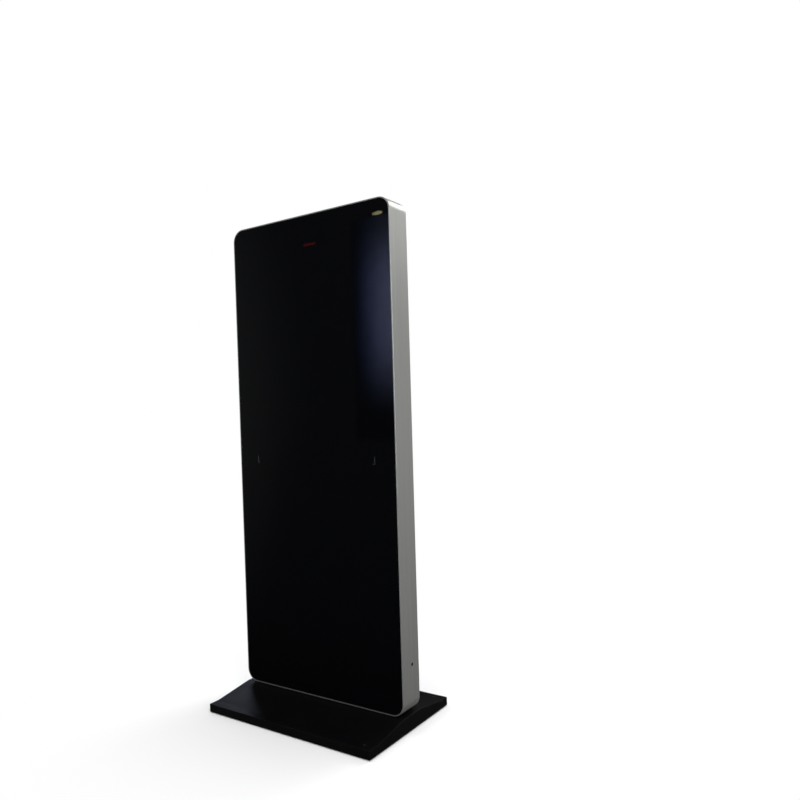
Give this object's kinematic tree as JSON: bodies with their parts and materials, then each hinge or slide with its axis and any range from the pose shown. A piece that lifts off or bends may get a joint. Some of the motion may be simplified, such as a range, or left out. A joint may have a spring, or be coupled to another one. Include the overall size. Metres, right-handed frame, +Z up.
{
  "type": "touchscreen kiosk",
  "caption": "Floor-standing portrait touchscreen kiosk: rounded silver cabinet with a black glass front on a low sloped black base, with a hinged rear service door.",
  "frame": {"origin": "on the floor, at the centre of the base", "axes": "+Z up, glass faces -Y, +X to the right seen from the front"},
  "size_m": [0.76, 0.55, 1.932],
  "materials": {
    "frame_silver": "satin painted aluminium",
    "base_black": "satin black powder coat",
    "cover_black": "fine textured black powder coat",
    "steel_black": "black primed steel",
    "steel_zinc": "zinc plated sheet",
    "screw_black": "black oxide",
    "fastener_zinc": "zinc plated",
    "hinge_steel": "satin",
    "lock_nickel": "bright nickel",
    "glass_front": "polished tempered glass",
    "print_black": "ceramic black print",
    "mark_grey": "faint printed mark",
    "tape_black": "foam tape",
    "foil_dark": "laminated film",
    "ir_red": "dark red acrylic",
    "pcb_green": "soldered circuit board",
    "lcd_dark": "unlit display cell",
    "diffuser_white": "diffusing sheet",
    "led_white": "led strip on aluminium",
    "bezel_black": "black sheet",
    "player_black": "black anodised",
    "plastic_black": "moulded",
    "button_black": "satin moulded",
    "rocker_red": "moulded",
    "rubber_black": "matte",
    "filter_grey": "open cell filter foam",
    "cable_black": "pvc sheath",
    "brass_plain": "turned"
  },
  "bodies": {
    "cabinet": {"side_frame": "frame_silver", "base_cover": "base_black", "rear_cover": "cover_black", "base_plate": "steel_black", "support_post_left": "steel_black", "support_post_right": "steel_black", "left_rail": "steel_zinc", "right_rail": "steel_zinc", "crossbars": "steel_zinc", "equipment_tray": "steel_zinc", "lcd_brackets": "steel_zinc", "lcd_rear_pan": "steel_zinc", "power_supply": "steel_zinc", "port_panel": "steel_zinc", "data_ports": "steel_zinc", "base_cover_screws": "screw_black", "post_bolts": "fastener_zinc", "tray_screws": "fastener_zinc", "rear_cover_screws": "fastener_zinc", "hinge_pins": "fastener_zinc", "hinge_frame_leaves": "hinge_steel", "front_glass": "glass_front", "glass_print": "print_black", "corner_marks": "mark_grey", "glass_tape": "tape_black", "touch_foil": "foil_dark", "ir_window": "ir_red", "ir_receiver": "pcb_green", "light_sensor": "pcb_green", "driver_board": "pcb_green", "touch_controller": "pcb_green", "lcd_panel": "lcd_dark", "diffuser_stack": "diffuser_white", "led_bars": "led_white", "lcd_bezel": "bezel_black", "media_player": "player_black", "speaker_left": "plastic_black", "speaker_right": "plastic_black", "fan_frame_left": "plastic_black", "fan_frame_right": "plastic_black", "power_inlet": "plastic_black", "switch_housing": "plastic_black", "power_button_housing": "plastic_black", "base_feet": "rubber_black", "seat_gasket": "rubber_black", "mains_loom": "cable_black", "signal_loom": "cable_black", "board_standoffs": "brass_plain", "inlet_pins": "brass_plain"},
    "door": {"rear_door": "cover_black", "door_filters": "filter_grey", "hinge_door_leaves": "hinge_steel", "lock_housing": "lock_nickel", "lock_nut": "lock_nickel"},
    "door_lock": {"lock_plug": "lock_nickel", "lock_cam": "lock_nickel"},
    "left_fan": {"fan_rotor_left": "plastic_black"},
    "right_fan": {"fan_rotor_right": "plastic_black"},
    "rocker": {"switch_rocker": "rocker_red"},
    "side_button": {"power_button": "button_black"}
  },
  "joints": [
    {"name": "door_hinge", "type": "hinge", "parent": "cabinet", "child": "door", "pos_m": [-0.28, 0.0691, 1], "axis": [0, 0, 1], "range_deg": [0, 110]},
    {"name": "door_lock_turn", "type": "hinge", "parent": "door", "child": "door_lock", "pos_m": [0.251, 0.0648, 1], "axis": [0, -1, 0], "range_deg": [0, 90]},
    {"name": "left_fan_spin", "type": "hinge", "parent": "cabinet", "child": "left_fan", "pos_m": [-0.11, 0.05, 1.762], "axis": [0, 1, 0], "continuous": true},
    {"name": "right_fan_spin", "type": "hinge", "parent": "cabinet", "child": "right_fan", "pos_m": [0.11, 0.05, 1.762], "axis": [0, 1, 0], "continuous": true},
    {"name": "power_rocker_tilt", "type": "hinge", "parent": "cabinet", "child": "rocker", "pos_m": [0, 0.0625, 0.19], "axis": [1, 0, 0], "range_deg": [0, 14]},
    {"name": "side_button_press", "type": "slide", "parent": "cabinet", "child": "side_button", "axis": [-1, 0, 0], "range_m": [0, 0.002], "stiffness_N_per_m": 800}
  ]
}
